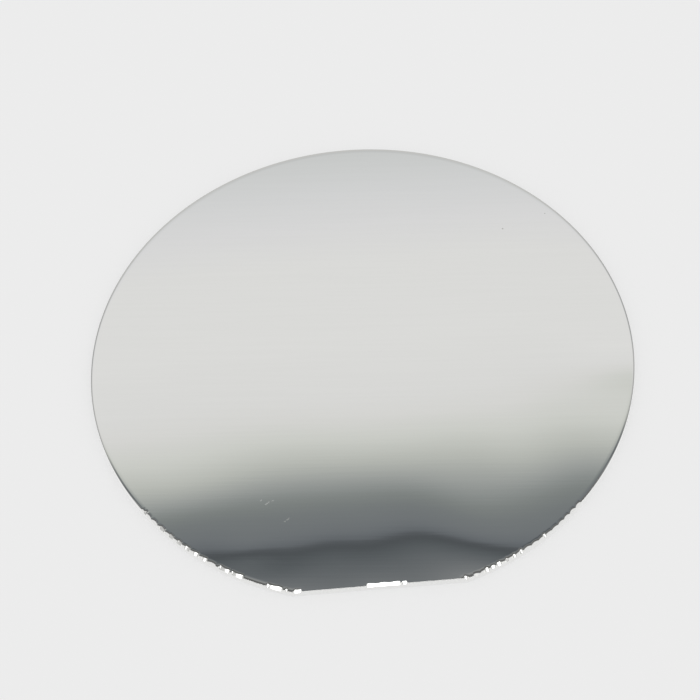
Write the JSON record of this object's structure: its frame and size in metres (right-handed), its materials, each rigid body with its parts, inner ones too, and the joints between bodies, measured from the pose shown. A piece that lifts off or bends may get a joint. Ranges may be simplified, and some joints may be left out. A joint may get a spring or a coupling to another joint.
{
  "type": "molybdenum wafer",
  "caption": "Thin round wafer of polished molybdenum with a flat ground across its rim and rounded edges, used as a bare metal substrate.",
  "frame": {"origin": "centre of the round rim, on the back face that the wafer lies on", "axes": "+Z out of the polished face, -Y out of the flat, +X along the flat to the right as seen from above with the flat nearest"},
  "size_m": [0.1, 0.0975, 0.0015],
  "materials": {
    "polished_molybdenum": "polished"
  },
  "bodies": {
    "root": {"wafer": "polished_molybdenum"}
  },
  "joints": []
}
